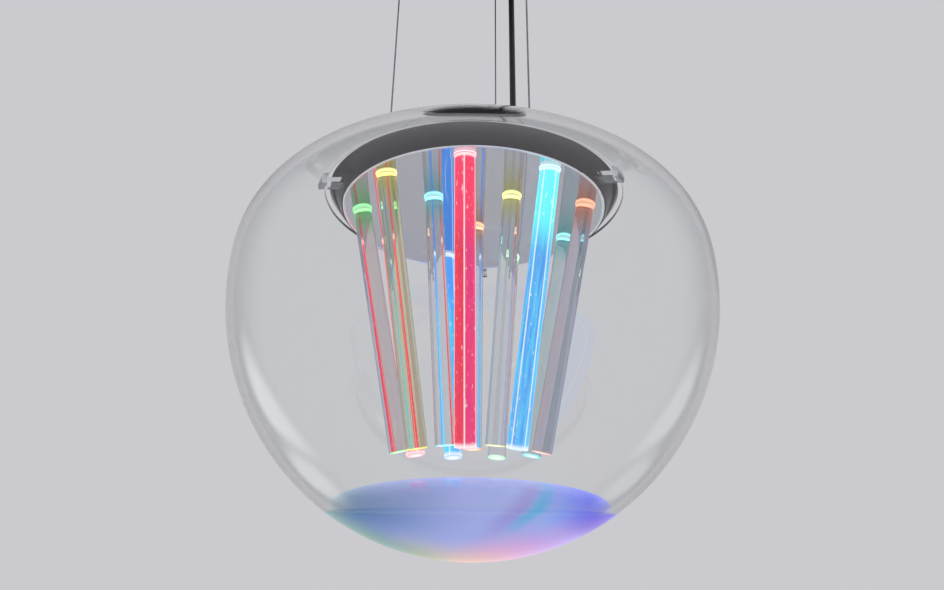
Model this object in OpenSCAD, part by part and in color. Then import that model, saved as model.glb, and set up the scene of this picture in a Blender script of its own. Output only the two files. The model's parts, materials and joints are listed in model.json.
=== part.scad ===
// Pendant lamp: a clear glass globe with an opal bottom, hung on three wires.
// Twelve clear light rods stand in a concave mirror and shine down on the opal diffuser.
// Frame: millimetres, +Z up, origin in the middle of the ceiling plate's top face.
// The photograph's near side is -Y. Angles run from the near side towards +X.

/* [Globe] */
// Outer diameter at the equator
globe_d = 360; // [340:1:380]
// Height of the full shoulder curve above the equator
shoulder_h = 111.5; // [106:0.5:118]
// Fullness of the shoulder curve, where 2 is a plain ellipse
shoulder_fullness = 2.45; // [2.35:0.05:2.6]
// Depth of the belly below the equator
belly_depth = 186; // [175:1:200]
// Wall of the clear and opal glass
glass_wall = 5; // [4:0.5:6]
// Gap between the globe's open mouth and the skirt in it
mouth_gap = 3; // [2.5:0.25:5]
// Diameter of the seam between clear and opal glass
seam_d = 200; // [180:1:215]
// Rise of the opal dome that covers the bowl
dome_rise = 19.5; // [15:0.5:24]
// Wall of the opal dome
dome_wall = 3; // [2:0.5:4]

/* [Light rods] */
// Diameter of a rod
rod_d = 14.5; // [12:0.5:16]
// Length of a rod below the mirror
rod_length = 197; // [160:1:205]
// Distance from an outer rod's middle to the mirror's rim
rim_margin = 14.2; // [14:0.1:18]
// Tilt of the inner rods from the axis
inner_tilt = 4.75; // [4:0.25:5]
// Angle of the first outer rod
outer_angle = -4; // [-6:1:-2]
// Angle of the first inner rod
inner_angle = -63; // [-70:1:-55]
// Diameter of the collar at a rod's top
collar_d = 15.6; // [15.5:0.1:18]
// Height of that collar
collar_h = 1; // [0.8:0.1:4]

/* [Mirror dish] */
// Radius of the mirror's sphere
mirror_radius = 444; // [430:1:460]
// Diameter of the mirror at its rim
mirror_d = 213; // [211:0.5:214]
// Thickness of the mirror
mirror_t = 1.5; // [1:0.25:2]
// Diameter of the rolled rim
bead_d = 2.4; // [2:0.2:3]

/* [Lamp head] */
// Space for the light sources between mirror and heat spreader
led_gap = 8.5; // [8:0.25:9]
// Thickness of the heat spreader
spreader_t = 4; // [3:0.5:5]
// Distance that the heat spreader reaches past the mirror's rim
spreader_reach = 4; // [3:0.25:4.5]
// Distance that the skirt's upper edge reaches past the mirror's rim
skirt_flare = 13; // [12.5:0.1:13.5]
// Height of the skirt
skirt_h = 14.3; // [13.5:0.1:15]
// Wall of the skirt
skirt_wall = 2; // [1.5:0.25:2.5]
// Wall of the top cover
cover_wall = 1.6; // [1.2:0.2:2]
// Height of the cover's deck, where the wires enter, above the skirt
deck_rise = 13.5; // [12.5:0.5:16]
// Diameter of the cover's middle housing
housing_d = 88; // [80:1:92]
// Height of the middle housing above the deck
housing_h = 27; // [22:1:32]
// Number of heat sink fins
fin_count = 14; // [8:1:18]
// Thickness of a fin
fin_t = 1.6; // [1:0.2:2]
// Diameter of a light source board
star_d = 18; // [16:0.5:20]
// Thickness of a light source board
star_t = 1.6; // [1:0.2:2]
// Height of a light source lens
lens_h = 3; // [2.5:0.25:3.5]

/* [Suspension] */
// Distance from the ceiling to the globe's equator
drop = 456; // [430:1:1500]
// Diameter of a suspension wire
wire_d = 1.5; // [1:0.1:2]
// Diameter of the circle that the wires hang on
wire_circle_d = 150; // [144:1:154]
// Angles of the three wires
wire_angles = [-90, 34, 163]; // [-180:1:180]
// Diameter of the ball on a wire's end
wire_ball_d = 6; // [5:0.5:7]
// Outer diameter of a wire's socket
wire_socket_d = 14; // [12:0.5:15]
// Diameter of the power cord
cord_d = 6; // [5:0.5:7]
// Diameter of the circle that the cord hangs on
cord_circle_d = 118; // [116:1:122]
// Angle of the cord
cord_angle = 140; // [135:1:144]
// Diameter of the ball grommet on the cord's end
cord_ball_d = 11; // [10:0.5:12]
// Outer diameter of the cord's socket
cord_socket_d = 19; // [17:0.5:20]
// Largest swing that the socket mouths leave room for, in degrees
swing = 10; // [9:0.5:12]

/* [Ceiling canopy] */
// Outer diameter of the canopy
canopy_d = 186; // [182:1:200]
// Height of the canopy
canopy_h = 34; // [32:1:45]
// Wall of the canopy
canopy_wall = 1.5; // [1:0.25:2]
// Radius of the canopy's lower edge
canopy_edge_r = 6; // [3:0.5:8]
// Thickness of the ceiling plate
plate_t = 2.5; // [2:0.25:3]
// Height of the plate's turned-down flange
flange_h = 14; // [10:1:18]
// Distance between the two ceiling screws
screw_spacing = 110; // [106:1:112]
// Length of a ceiling screw slot
slot_length = 14; // [10:1:16]
// Width of a ceiling screw slot
slot_w = 5.5; // [4.5:0.5:6]
// Diameter of the cable entry
cable_entry_d = 22; // [16:1:25]
// Size of the power supply: length, width, height
driver_size = [90, 38, 24]; // [10:1:95]

/* [Glass latches] */
// Width of a latch bolt
bolt_w = 12; // [10:0.5:14]
// Thickness of a latch bolt
bolt_t = 5; // [4.5:0.1:5.2]
// Travel of a latch bolt
latch_travel = 7.5; // [7:0.25:8]
// Distance that a bolt's tip reaches past the mouth's edge
latch_reach = 6; // [5:0.25:7]
// Length of the pad on a bolt's tip
pad_length = 4.2; // [3.5:0.1:5]
// Thickness of that pad, which sets how high the head sits in the mouth
pad_t = 3.6; // [3:0.1:5]

/* [Hidden] */

$fn = 96;
smooth_fn = 180; // sides of the large round shells
steps = 20; // straight pieces in one curved outline

clear = 0.3; // between pieces that move against each other
seat = 0.1; // between curved pieces that sit on each other
fit = 0.05; // running fit of a ball in its seat
pad_gap = 0.6; // between a latch pad and the shoulder that rests on it
cut = 1; // how far a cutting shape runs past the face it cuts

// Diameters of the lamp head and the mouth around it, from the mirror outwards
spreader_d = mirror_d + 2 * spreader_reach;
skirt_d = mirror_d + 2 * skirt_flare;
mouth_d = skirt_d + 2 * mouth_gap;

// Heights of the lamp, from the globe's equator
globe_r = globe_d / 2;
equator_z = -drop;
mirror_back = mirror_radius + mirror_t;
spreader_in = mirror_back + led_gap;
spreader_out = spreader_in + spreader_t;

// Outline of the globe: a full shoulder above the equator and an ellipse below it
function power(x, p) = x <= 0 ? 0 : pow(x, p);
function shoulder_z(r, inset) =
    (shoulder_h - inset) * power(1 - power(r / (globe_r - inset), shoulder_fullness), 1 / shoulder_fullness);
function belly(t, inset) =
    [(globe_r - inset) * cos(t), equator_z - (belly_depth - inset) * sin(t)];
lip_fullness = 0.56; // of the wall, for the reach of the fire-polished lip
lip_r = glass_wall * lip_fullness;
lip_at = mouth_d / 2 + lip_r;
lip_steps = 8;
seam_t = acos(seam_d / globe_d);
function shoulder_line(inset) = [
    for (i = [0 : steps])
    let (a = 90 * i / steps, r = lip_at + (globe_r - inset - lip_at) * sin(a))
    [r, equator_z + shoulder_z(r, inset)]
];
function belly_line(from, to, inset) = [
    for (i = [0 : steps]) belly(from + (to - from) * i / steps, inset)
];
function arch(half_width, rise) = [
    for (i = [0 : steps]) let (a = 90 * i / steps) [half_width * cos(a), rise * sin(a)]
];
function backwards(list) = [for (i = [len(list) - 1 : -1 : 0]) list[i]];

// Latches: each bolt slides along a line square to the mirror's radius, with its pad under the shoulder
latch_angles = [56, 176, 296];
ledge_w = 6;
latch_r = spreader_d / 2 - ledge_w;
latch_level = mirror_back + led_gap / 2;
latch_tilt = asin(latch_r / latch_level);
bolt_tip_r = mouth_d / 2 + latch_reach;
function along(r) = (r - latch_r) / cos(latch_tilt);
function pad_top_z(r) = equator_z + shoulder_z(r, glass_wall) - pad_gap;

// Centre of the mirror's sphere
bolt_top = (latch_level + bolt_t / 2) / cos(latch_tilt);
dish_centre_z = pad_top_z(bolt_tip_r) - pad_t - bolt_top + bolt_tip_r * tan(latch_tilt);

// Height of a bolt's top face at the distance r from the axis
function bolt_top_z(r) = dish_centre_z + bolt_top - r * tan(latch_tilt);

// Height of a sphere around the mirror's centre at the distance r from the axis
function on_sphere(radius, r) = dish_centre_z + sqrt(radius * radius - r * r);

// Rods
outer_count = 9;
inner_count = 3;
outer_tilt = asin((mirror_d / 2 - rim_margin) / mirror_radius);
outer_spots = [for (i = [0 : outer_count - 1]) [outer_tilt, outer_angle + i * 360 / outer_count]];
inner_spots = [for (i = [0 : inner_count - 1]) [inner_tilt, inner_angle + i * 360 / inner_count]];
rod_spots = concat(outer_spots, inner_spots);
rod_tints = [
    "crimson", "deepskyblue", "darkorange", "turquoise", "palegreen", "dodgerblue",
    "red", "limegreen", "gold", "cyan", "yellow", "orange"
];
rod_bottom = mirror_radius - rod_length;
rod_top = spreader_in - star_t - lens_h - 2 * seat;
lens_d = 12;
lens_edge = 2;

// Skirt and cover
rim_z = on_sphere(mirror_radius, mirror_d / 2);
skirt_low_r = mirror_d / 2 + bead_d / 2 + 2 * clear;
skirt_low_z = rim_z + clear;
skirt_top_z = skirt_low_z + skirt_h;
ledge_t = 2.5;
ledge_top_z = on_sphere(spreader_in, spreader_d / 2) - seat;
skirt_slope = (skirt_d / 2 - skirt_low_r) / skirt_h;
function skirt_r(z) = skirt_low_r + (z - skirt_low_z) * skirt_slope;
deck_z = skirt_top_z + deck_rise;
deck_r = wire_circle_d / 2;
cover_r = skirt_d / 2 - skirt_wall / 2;
housing_top_z = deck_z + housing_h;
housing_edge = 9;
housing_foot = 6;
foot_rise = 2; // of the deck at the housing's foot
cover_bow = 1.5; // of the cover between its edge and the deck
edge_steps = 5; // straight pieces in a small rounded edge
foot_r = housing_d / 2 + housing_foot;
bow_r = (cover_r + deck_r) / 2;
bow_z = (skirt_top_z + deck_z) / 2 + cover_bow;
deck_slope = (deck_z + foot_rise - bow_z) / (bow_r - foot_r);
sink_air = 7; // between heat sink and housing, at the side
sink_air_top = 12; // and above
sink_d = housing_d - 2 * cover_wall - 2 * sink_air;
sink_base_t = 5.5;
sink_h = housing_h - sink_air_top;
screw_inset = 4.75; // of the cover's screws from its bow
cover_screw_r = bow_r - screw_inset;
cover_screw_angles = [96, 216, 336];
screw_edge = 2.6; // from the middle of a spreader screw to the spreader's edge
spreader_screw_r = spreader_d / 2 - screw_edge;
spreader_screw_count = 6;
spreader_screw_angle = 26;
screw_d = 3;
screw_head_d = 5.6;
screw_head_h = 2.2;
cover_screw_z = bow_z + (bow_r - cover_screw_r + screw_head_d / 2) * deck_slope + seat;
standoff_d = 7;
standoff_tilt = (outer_tilt + inner_tilt) / 2;
standoff_angles = [16, 136, 256];
connector_size = [18, 10, 3.2];
connector_r = 47;
connector_angle = -40;

// Suspension
wire_r = wire_d / 2;
cord_r = cord_d / 2;
function around(circle_d, angle) = circle_d / 2 * [sin(angle), -cos(angle)];
wire_spots = [for (a = wire_angles) around(wire_circle_d, a)];
cord_spot = around(cord_circle_d, cord_angle);
pivot_drop = 1; // of the upper ball seats below the canopy
top_pivot_z = -canopy_h - pivot_drop;
pivot_rise = 4; // of the lower ball seats above the deck
low_pivot_z = deck_z + pivot_rise;
lip_share = 0.8; // of a cord ball, for the lip of its socket
wire_lip = wire_ball_d;
cord_lip = cord_ball_d * lip_share;
wire_top_z = top_pivot_z - wire_ball_d / 2 - clear;
wire_low_z = low_pivot_z + wire_ball_d / 2 + clear;
cord_top_z = top_pivot_z - cord_ball_d / 2 - clear;
cord_low_z = low_pivot_z + cord_ball_d / 2 + clear;
rings = 20; // along each wire and the cord
wire_sides = 8;
cord_sides = 12;

// Canopy
plate_d = canopy_d - 2 * canopy_wall - 2 * clear;
flange_t = 2;
nut_h = 6;
lock_nut_h = 5;
nut_extra = 6; // across the corners of a nut, beyond its socket
driver_spot = [-62, -46];
driver_screw_d = 3.5;
driver_foot = 6;
foot_share = 0.3; // of the power supply's height
driver_foot_h = driver_size.z * foot_share;
terminal_size = [34, 17, 14];
terminal_spot = [-60, 27];
terminal_ways = 3;
terminal_bore_d = 4;
cable_entry_spot = [-2, 38];
canopy_screw_z = -8;
canopy_screw_angles = [90, 270];
canopy_screw_head = [8, 5]; // diameter and length

// Latch pieces, along a bolt's travel
bolt_tip = along(bolt_tip_r);
bolt_end = -9;
guide_wall = 0.9;
guide_back = bolt_end - latch_travel - cut;
guide_half = bolt_t / 2 + clear + guide_wall;
guide_front = along(spreader_d / 2 - ledge_w - clear) - guide_half * tan(latch_tilt);
spring_d = 3;
spring_bore_d = 2;
spring_pocket = 12;

// Places children on a line from the mirror's centre
module at_polar(tilt, angle) {
    translate([0, 0, dish_centre_z])
        rotate([0, 0, angle])
            rotate([tilt, 0, 0])
                children();
}

// Places children in a latch's own frame: +X outwards along its travel, +Z up
module at_latch(i) {
    translate([0, 0, dish_centre_z])
        rotate([0, 0, latch_angles[i] - 90])
            rotate([0, latch_tilt, 0])
                translate([0, 0, latch_level])
                    children();
}

module at_spot(spot, z) {
    translate([spot.x, spot.y, z])
        children();
}

module tube(outer_d, inner_d, h) {
    difference() {
        cylinder(d = outer_d, h = h);
        translate([0, 0, -cut])
            cylinder(d = inner_d, h = h + 2 * cut);
    }
}

module box(low, high) {
    translate(low)
        cube(high - low);
}

// Shell between two spheres around the mirror's centre
module dome_shell(r_in, r_out, edge_d) {
    translate([0, 0, dish_centre_z])
        intersection() {
            difference() {
                sphere(r = r_out, $fn = smooth_fn);
                sphere(r = r_in, $fn = smooth_fn);
            }
            cylinder(d = edge_d, h = r_out + cut, $fn = smooth_fn);
        }
}

// Straight cord along two route points, from rings of equal sides
module straight_cord(route, r, sides) {
    points = [
        for (i = [0 : rings - 1], k = [0 : sides - 1])
        let (p = route[0] + (route[1] - route[0]) * i / (rings - 1), a = 360 * k / sides)
        [p.x + r * cos(a), p.y + r * sin(a), p.z]
    ];
    last = (rings - 1) * sides;
    faces = concat(
        [
            for (i = [0 : rings - 2], k = [0 : sides - 1])
            let (n = (k + 1) % sides, a = i * sides)
            each [[a + k, a + n, a + sides + k], [a + n, a + sides + n, a + sides + k]]
        ],
        [for (k = [1 : sides - 2]) [0, k + 1, k]],
        [for (k = [1 : sides - 2]) [last, last + k, last + k + 1]]
    );
    polyhedron(points, faces);
}

// Socket for a ball end. The rope leaves upwards, and the ball goes in from below
module ball_socket(outer_d, ball_d, rope_d, depth, lip) {
    mouth_r = rope_d / 2 + clear;
    difference() {
        translate([0, 0, -depth])
            cylinder(d = outer_d, h = depth + lip);
        sphere(d = ball_d + 2 * fit);
        translate([0, 0, -depth - cut])
            cylinder(d = ball_d + 2 * fit, h = depth + cut);
        cylinder(r1 = mouth_r, r2 = mouth_r + (lip + cut) * tan(swing), h = lip + cut);
    }
}

// Screw with a domed head whose underside is at z = 0
module pan_screw(shank_d, length, head_d, head_h) {
    translate([0, 0, -length])
        cylinder(d = shank_d, h = length + cut / 2);
    intersection() {
        cylinder(d = head_d, h = head_h);
        translate([0, 0, head_h - head_d])
            sphere(r = head_d);
    }
}

// Ceiling fitting

module slot_cut(x) {
    half = (slot_length - slot_w) / 2;
    for (side = [-half, half])
        translate([x + side, 0, -plate_t - cut])
            cylinder(d = slot_w, h = plate_t + 2 * cut);
    box([x - half, -slot_w / 2, -plate_t - cut], [x + half, slot_w / 2, cut]);
}

module ceiling_plate() {
    color("gainsboro")
        difference() {
            union() {
                translate([0, 0, -plate_t])
                    cylinder(d = plate_d, h = plate_t);
                translate([0, 0, -plate_t - flange_h])
                    tube(plate_d, plate_d - 2 * flange_t, flange_h + plate_t / 2);
            }
            slot_cut(-screw_spacing / 2);
            slot_cut(screw_spacing / 2);
            at_spot(cable_entry_spot, -plate_t - cut)
                cylinder(d = cable_entry_d, h = plate_t + 2 * cut);
        }
}

module hex_nut(bore_d, h) {
    difference() {
        cylinder(d = bore_d + nut_extra, h = h, $fn = 6);
        translate([0, 0, -cut])
            cylinder(d = bore_d + 2 * fit, h = h + 2 * cut);
    }
}

module nuts_at(top_z, h) {
    for (spot = wire_spots)
        at_spot(spot, top_z - h)
            hex_nut(wire_socket_d, h);
    at_spot(cord_spot, top_z - h)
        hex_nut(cord_socket_d, h);
}

module weld_nuts() {
    color("silver")
        nuts_at(-plate_t, nut_h);
}

module lock_nuts() {
    color("silver")
        nuts_at(-plate_t - nut_h, lock_nut_h);
}

module hanging_socket(outer_d, ball_d, rope_d, lip) {
    translate([0, 0, top_pivot_z])
        mirror([0, 0, 1])
            ball_socket(outer_d, ball_d, rope_d, -top_pivot_z - plate_t, lip);
}

module wire_sockets() {
    color("silver")
        for (spot = wire_spots)
            at_spot(spot, 0)
                hanging_socket(wire_socket_d, wire_ball_d, wire_d, wire_lip);
}

module cord_socket() {
    color([0.1, 0.1, 0.1])
        at_spot(cord_spot, 0)
            hanging_socket(cord_socket_d, cord_ball_d, cord_d, cord_lip);
}

module driver_hole(i, d, h) {
    x = driver_foot / 2 + i * (driver_size.x - driver_foot);
    translate([x, driver_size.y / 2, -h])
        cylinder(d = d, h = h + cut);
}

module led_driver() {
    color("whitesmoke")
        at_spot(driver_spot, -plate_t)
            difference() {
                translate([0, 0, -driver_size.z])
                    cube(driver_size);
                for (x = [-cut, driver_size.x - driver_foot])
                    box(
                        [x, -cut, -driver_size.z - cut],
                        [x + driver_foot + cut, driver_size.y + cut, -driver_foot_h]
                    );
                for (side = [0, 1])
                    driver_hole(side, driver_screw_d + 2 * fit, driver_size.z);
            }
}

module driver_screws() {
    color("silver")
        at_spot(driver_spot, -plate_t - driver_foot_h)
            for (side = [0, 1])
                translate([driver_foot / 2 + side * (driver_size.x - driver_foot), driver_size.y / 2, 0])
                    mirror([0, 0, 1])
                        pan_screw(driver_screw_d, driver_foot_h, screw_head_d, screw_head_h);
}

module terminal_block() {
    color("ivory")
        at_spot(terminal_spot, -plate_t)
            difference() {
                translate([0, 0, -terminal_size.z])
                    cube(terminal_size);
                for (i = [0 : terminal_ways - 1])
                    translate([terminal_size.x * (i + 0.5) / terminal_ways, -cut, -terminal_size.z / 2])
                        rotate([-90, 0, 0])
                            cylinder(d = terminal_bore_d, h = terminal_size.y + 2 * cut);
            }
}

module canopy_outline(inset) {
    edge_r = canopy_edge_r - inset;
    difference() {
        union() {
            translate([0, -canopy_h + inset])
                square([canopy_d / 2 - canopy_edge_r, canopy_h]);
            translate([0, -canopy_h + canopy_edge_r])
                square([canopy_d / 2 - inset, canopy_h]);
            translate([canopy_d / 2 - canopy_edge_r, -canopy_h + canopy_edge_r])
                circle(r = edge_r);
        }
        translate([0, -2 * clear + (inset > 0 ? cut + 2 * clear : 0)])
            square([canopy_d, canopy_h + canopy_edge_r]);
    }
}

module canopy_cover() {
    color([0.12, 0.12, 0.13])
        difference() {
            rotate_extrude($fn = smooth_fn)
                difference() {
                    canopy_outline(0);
                    canopy_outline(canopy_wall);
                }
            for (spot = wire_spots)
                at_spot(spot, -canopy_h - cut)
                    cylinder(d = wire_socket_d + cut, h = canopy_wall + 2 * cut);
            at_spot(cord_spot, -canopy_h - cut)
                cylinder(d = cord_socket_d + cut, h = canopy_wall + 2 * cut);
            for (angle = canopy_screw_angles)
                translate([0, 0, canopy_screw_z])
                    rotate([90, 0, angle])
                        cylinder(d = screw_d + 2 * fit, h = canopy_d);
        }
}

module canopy_screws() {
    color("silver")
        for (angle = canopy_screw_angles)
            translate([0, 0, canopy_screw_z])
                rotate([90, 0, angle]) {
                    translate([0, 0, canopy_d / 2 + seat])
                        cylinder(d = canopy_screw_head[0], h = canopy_screw_head[1]);
                    translate([0, 0, plate_d / 2 + seat])
                        cylinder(d = screw_d, h = canopy_wall + 2 * clear);
                }
}

// Suspension

module wire_ball(i) {
    color("silver")
        at_spot(wire_spots[i - 1], top_pivot_z)
            sphere(d = wire_ball_d);
}

module cord_ball() {
    color([0.05, 0.05, 0.05])
        at_spot(cord_spot, top_pivot_z)
            sphere(d = cord_ball_d);
}

module suspension_wire(i) {
    spot = wire_spots[i - 1];
    color("gray")
        straight_cord([[spot.x, spot.y, wire_low_z], [spot.x, spot.y, wire_top_z]], wire_r, wire_sides);
}

module power_cord() {
    low = [cord_spot.x, cord_spot.y, cord_low_z];
    high = [cord_spot.x, cord_spot.y, cord_top_z];
    color([0.03, 0.03, 0.03])
        straight_cord([low, high], cord_r, cord_sides);
}

module anchor_ball(i) {
    color("silver")
        at_spot(wire_spots[i - 1], low_pivot_z)
            sphere(d = wire_ball_d);
}

module anchor_balls() {
    anchor_ball(2);
    anchor_ball(3);
}

module cord_grommet() {
    color([0.05, 0.05, 0.05])
        at_spot(cord_spot, low_pivot_z)
            sphere(d = cord_ball_d);
}

// Takes away all that lies below the heat spreader's top
module above_spreader() {
    difference() {
        children();
        translate([0, 0, dish_centre_z])
            sphere(r = spreader_out + seat, $fn = smooth_fn);
    }
}

module standing_socket(spot, outer_d, ball_d, rope_d, lip) {
    depth = low_pivot_z - on_sphere(spreader_out, norm(spot) + outer_d / 2) + cut;
    above_spreader()
        at_spot(spot, low_pivot_z)
            ball_socket(outer_d, ball_d, rope_d, depth, lip);
}

module wire_anchors() {
    color("silver")
        for (spot = wire_spots)
            standing_socket(spot, wire_socket_d, wire_ball_d, wire_d, wire_lip);
}

module cord_gland() {
    color([0.1, 0.1, 0.1])
        standing_socket(cord_spot, cord_socket_d, cord_ball_d, cord_d, cord_lip);
}

// Lamp head

// Outline of the cover from its edge to the axis, drawn in by inset
function cover_line(inset) =
    let (
        wall_r = housing_d / 2 - inset,
        top = housing_top_z - inset,
        foot_z = deck_z + housing_foot
    )
    concat(
        [
            [cover_r - inset, skirt_top_z],
            [bow_r, bow_z - inset],
            [foot_r, deck_z + foot_rise - inset]
        ],
        [
            for (i = [1 : edge_steps])
            let (a = 90 * i / edge_steps)
            [foot_r - (foot_r - wall_r) * sin(a), foot_z - inset - (housing_foot - foot_rise) * cos(a)]
        ],
        [
            for (i = [0 : edge_steps])
            let (a = 90 * i / edge_steps)
            [wall_r - housing_edge * (1 - cos(a)), top - housing_edge + housing_edge * sin(a)]
        ],
        [[0, top]]
    );

module head_cover() {
    color([0.1, 0.1, 0.11])
        difference() {
            rotate_extrude($fn = smooth_fn)
                polygon(concat(cover_line(0), backwards(cover_line(cover_wall))));
            for (spot = wire_spots)
                at_spot(spot, skirt_top_z)
                    cylinder(d = wire_socket_d + 2 * clear, h = deck_rise * 2);
            at_spot(cord_spot, skirt_top_z)
                cylinder(d = cord_socket_d + 2 * clear, h = deck_rise * 2);
            for (angle = cover_screw_angles)
                at_spot(around(2 * cover_screw_r, angle), skirt_top_z)
                    cylinder(d = screw_d + 2 * fit, h = deck_rise * 2);
        }
}

module cover_screws() {
    color("dimgray")
        for (angle = cover_screw_angles)
            at_spot(around(2 * cover_screw_r, angle), cover_screw_z)
                pan_screw(
                    screw_d, cover_screw_z - on_sphere(spreader_out, cover_screw_r - screw_d / 2) - seat,
                    screw_head_d, screw_head_h
                );
}

module heat_sink() {
    base_z = on_sphere(spreader_out, 0) + sink_base_t;
    color("silver")
        above_spreader()
            union() {
                at_spot([0, 0], base_z - 2 * sink_base_t)
                    cylinder(d = sink_d, h = 2 * sink_base_t);
                for (i = [0 : fin_count - 1])
                    rotate([0, 0, i * 360 / fin_count])
                        translate([sink_d / 6, -fin_t / 2, base_z - cut])
                            cube([sink_d / 3, fin_t, sink_h - sink_base_t]);
            }
}

module lead_connector() {
    color("ivory")
        at_polar(asin(connector_r / spreader_out), connector_angle)
            translate([-connector_size.x / 2, -connector_size.y / 2, spreader_out + seat])
                cube(connector_size);
}

module heat_spreader() {
    color("silver")
        difference() {
            dome_shell(spreader_in, spreader_out, spreader_d);
            spreader_screw_places()
                translate([0, 0, -cut])
                    cylinder(d = screw_d + 2 * fit, h = 4 * spreader_t);
        }
}

module spreader_screw_places() {
    for (i = [0 : spreader_screw_count - 1]) {
        angle = spreader_screw_angle + i * 360 / spreader_screw_count;
        at_spot(around(2 * spreader_screw_r, angle), ledge_top_z)
            children();
    }
}

module spreader_screws() {
    head_z = on_sphere(spreader_out, spreader_screw_r - screw_head_d / 2) + seat;
    color("dimgray")
        spreader_screw_places()
            translate([0, 0, head_z - ledge_top_z])
                pan_screw(
                    screw_d, head_z - ledge_top_z + ledge_t - seat, screw_head_d, screw_head_h
                );
}

module head_skirt() {
    low_z = ledge_top_z - ledge_t;
    color([0.06, 0.06, 0.07])
        difference() {
            rotate_extrude($fn = smooth_fn)
                polygon([
                    [skirt_low_r, skirt_low_z],
                    [skirt_d / 2, skirt_top_z],
                    [skirt_d / 2 - skirt_wall, skirt_top_z],
                    [skirt_r(ledge_top_z) - skirt_wall, ledge_top_z],
                    [spreader_d / 2 - ledge_w, ledge_top_z],
                    [spreader_d / 2 - ledge_w, low_z],
                    [skirt_r(low_z) - skirt_wall, low_z],
                    [skirt_low_r, skirt_low_z + skirt_wall]
                ]);
            spreader_screw_places()
                translate([0, 0, -ledge_t - cut])
                    cylinder(d = screw_d + 2 * fit, h = ledge_t + 2 * cut);
            for (i = [0 : 2])
                at_latch(i)
                    bolt_block(-bolt_w / 2, along(skirt_d / 2), clear);
        }
}

module rod_holes(d) {
    for (spot = rod_spots)
        at_polar(spot[0], spot[1])
            translate([0, 0, mirror_radius - 2 * mirror_t])
                cylinder(d = d, h = 5 * mirror_t);
}

module mirror_dish() {
    color("white")
        difference() {
            union() {
                dome_shell(mirror_radius, mirror_back, mirror_d);
                translate([0, 0, on_sphere(mirror_radius + mirror_t / 2, mirror_d / 2)])
                    rotate_extrude($fn = smooth_fn)
                        translate([mirror_d / 2, 0])
                            circle(d = bead_d, $fn = 24);
            }
            rod_holes(rod_d + 2 * clear);
        }
}

module mirror_standoffs() {
    color("silver")
        for (angle = standoff_angles)
            at_polar(standoff_tilt, angle)
                translate([0, 0, mirror_back + seat])
                    cylinder(d = standoff_d, h = led_gap - 2 * seat);
}

module led_boards() {
    color("seagreen")
        for (spot = rod_spots)
            at_polar(spot[0], spot[1])
                translate([0, 0, spreader_in - star_t - seat])
                    cylinder(d = star_d, h = star_t);
}

module led_lenses() {
    color("white")
        for (spot = rod_spots)
            at_polar(spot[0], spot[1])
                translate([0, 0, spreader_in - star_t - seat - lens_h]) {
                    translate([0, 0, lens_edge / 2])
                        cylinder(d = lens_d, h = lens_h - lens_edge / 2);
                    cylinder(d1 = lens_d - lens_edge, d2 = lens_d, h = lens_edge / 2);
                }
}

module rod_collars() {
    color("white")
        for (spot = rod_spots)
            at_polar(spot[0], spot[1])
                translate([0, 0, mirror_radius - collar_h - 2 * seat])
                    tube(collar_d, rod_d + 2 * fit, collar_h);
}

module light_rod(i) {
    spot = rod_spots[i - 1];
    color(rod_tints[i - 1], 0.5)
        at_polar(spot[0], spot[1])
            translate([0, 0, rod_bottom])
                cylinder(d = rod_d, h = rod_top - rod_bottom);
}

// Glass latches

// Block of a bolt's section from one place to another along the travel, grown by room
module bolt_block(from, to, room) {
    translate([from, -bolt_w / 2 - room, -bolt_t / 2 - room])
        cube([to - from, bolt_w + 2 * room, bolt_t + 2 * room]);
}

module latch_guides() {
    half_w = bolt_w / 2 + clear + 2 * guide_wall;
    color("dimgray")
        for (i = [0 : 2])
            at_latch(i)
                difference() {
                    box([guide_back - guide_wall, -half_w, -guide_half], [guide_front, half_w, guide_half]);
                    bolt_block(guide_back, guide_front + cut, clear);
                }
}

module latch_springs() {
    color("silver")
        for (i = [0 : 2])
            at_latch(i)
                translate([guide_back + seat, 0, 0])
                    rotate([0, 90, 0])
                        tube(spring_d, spring_bore_d, bolt_end + spring_pocket - guide_back - 2 * seat);
}

module latch_bolt(i) {
    color([0.86, 0.9, 0.92], 0.5)
        at_latch(i - 1)
            difference() {
                bolt_block(bolt_end, bolt_tip, 0);
                translate([bolt_end - cut, 0, 0])
                    rotate([0, 90, 0])
                        cylinder(d = spring_d + 2 * clear, h = spring_pocket + cut);
            }
}

module latch_pad(i) {
    inner_r = bolt_tip_r - pad_length;
    color([0.85, 0.88, 0.88], 0.6)
        rotate([90, 0, latch_angles[i - 1] - 90])
            translate([0, 0, -bolt_w / 2])
                linear_extrude(height = bolt_w)
                    polygon([
                        [inner_r, bolt_top_z(inner_r)],
                        [bolt_tip_r, bolt_top_z(bolt_tip_r)],
                        [bolt_tip_r, pad_top_z(bolt_tip_r)],
                        [inner_r, pad_top_z(inner_r)]
                    ]);
}

// Glass

module glass_globe() {
    half = (shoulder_z(lip_at, 0) - shoulder_z(lip_at, glass_wall)) / 2;
    lip_z = equator_z + shoulder_z(lip_at, 0) - half;
    outer = concat(shoulder_line(0), belly_line(90 / steps, seam_t, 0));
    inner = concat(shoulder_line(glass_wall), belly_line(90 / steps, seam_t, glass_wall));
    lip = [
        for (i = [1 : lip_steps - 1])
        let (a = 180 * (1 - i / lip_steps))
        [lip_at - lip_r * sin(a), lip_z + half * cos(a)]
    ];
    color("lightcyan", 0.3)
        rotate_extrude($fn = smooth_fn)
            polygon(concat(outer, backwards(inner), lip));
}

module opal_bowl() {
    outer = belly_line(seam_t, 90, 0);
    inner = belly_line(seam_t, 90, glass_wall);
    color("white")
        rotate_extrude($fn = smooth_fn)
            polygon(concat(outer, backwards(inner)));
}

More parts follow.
